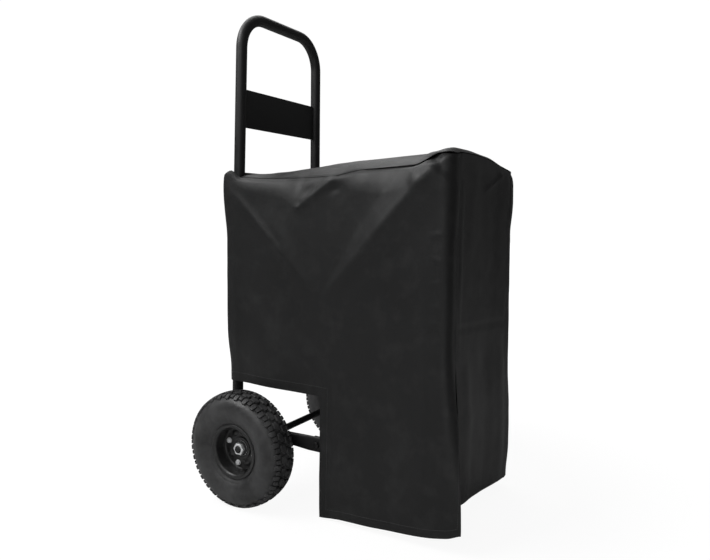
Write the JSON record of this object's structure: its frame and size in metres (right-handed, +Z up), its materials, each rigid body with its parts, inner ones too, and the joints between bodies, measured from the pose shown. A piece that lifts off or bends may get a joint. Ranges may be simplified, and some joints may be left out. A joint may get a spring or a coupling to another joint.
{
  "type": "fireside log cart",
  "caption": "Two-wheeled cart of bent steel tube for moving and storing split logs, with a tall hoop handle, a base on a support leg and a fitted fabric cover.",
  "frame": {"origin": "on the floor under the middle of the bounding box, cover included", "axes": "+Z up, X along the axle with the cart's left wheel at -X, and -Y towards the front, where the logs lie"},
  "size_m": [0.53, 0.6372, 1.107],
  "materials": {
    "frame_paint": "satin black powder coat",
    "wheel_paint": "semi-gloss black paint on pressed steel",
    "zinc": "bright zinc plate",
    "tyre_rubber": "dull black rubber with a block tread",
    "plain_rubber": "smooth dull black rubber",
    "cover_cloth": "charcoal woven cloth with a faintly shiny coating"
  },
  "bodies": {
    "frame": {"handle_hoop": "frame_paint", "handle_panel": "frame_paint", "side_frame_left": "frame_paint", "base_rail_left": "frame_paint", "foot_cap_left": "plain_rubber", "axle_saddle_left": "frame_paint", "rail_bolt_left": "frame_paint", "front_bolt_left": "frame_paint", "handle_bolt_left": "frame_paint", "side_frame_right": "frame_paint", "base_rail_right": "frame_paint", "foot_cap_right": "plain_rubber", "axle_saddle_right": "frame_paint", "rail_bolt_right": "frame_paint", "front_bolt_right": "frame_paint", "handle_bolt_right": "frame_paint", "base_cross_rear": "frame_paint", "base_cross_mid": "frame_paint", "base_cross_front": "frame_paint", "back_rail_lower": "frame_paint", "back_rail_upper": "frame_paint", "front_hoop": "frame_paint", "support_leg": "frame_paint", "axle": "frame_paint", "axle_spacer_left": "zinc", "axle_washer_left": "zinc", "axle_nut_left": "zinc", "axle_spacer_right": "zinc", "axle_washer_right": "zinc", "axle_nut_right": "zinc"},
    "left_wheel": {"left_tyre": "tyre_rubber", "left_inner_tube": "plain_rubber", "left_rim_outer": "wheel_paint", "left_rim_inner": "wheel_paint", "left_hub": "wheel_paint", "left_bearing_outer": "zinc", "left_bearing_inner": "zinc", "left_rim_bolt_1": "zinc", "left_rim_bolt_2": "zinc", "left_rim_bolt_3": "zinc", "left_rim_bolt_4": "zinc", "left_valve_stem": "plain_rubber"},
    "right_wheel": {"right_tyre": "tyre_rubber", "right_inner_tube": "plain_rubber", "right_rim_outer": "wheel_paint", "right_rim_inner": "wheel_paint", "right_hub": "wheel_paint", "right_bearing_outer": "zinc", "right_bearing_inner": "zinc", "right_rim_bolt_1": "zinc", "right_rim_bolt_2": "zinc", "right_rim_bolt_3": "zinc", "right_rim_bolt_4": "zinc", "right_valve_stem": "plain_rubber"},
    "cover": {"cover_top": "cover_cloth", "cover_left": "cover_cloth", "cover_right": "cover_cloth", "cover_front": "cover_cloth", "cover_back": "cover_cloth"}
  },
  "joints": [
    {"name": "left_wheel_spin", "type": "hinge", "parent": "frame", "child": "left_wheel", "pos_m": [-0.225, 0.18863, 0.13], "axis": [1, 0, 0], "continuous": true},
    {"name": "right_wheel_spin", "type": "hinge", "parent": "frame", "child": "right_wheel", "pos_m": [0.225, 0.18863, 0.13], "axis": [1, 0, 0], "continuous": true},
    {"name": "cover_lift", "type": "slide", "parent": "frame", "child": "cover", "axis": [0, -0.0142, 0.9999], "range_m": [0, 0.4]}
  ]
}
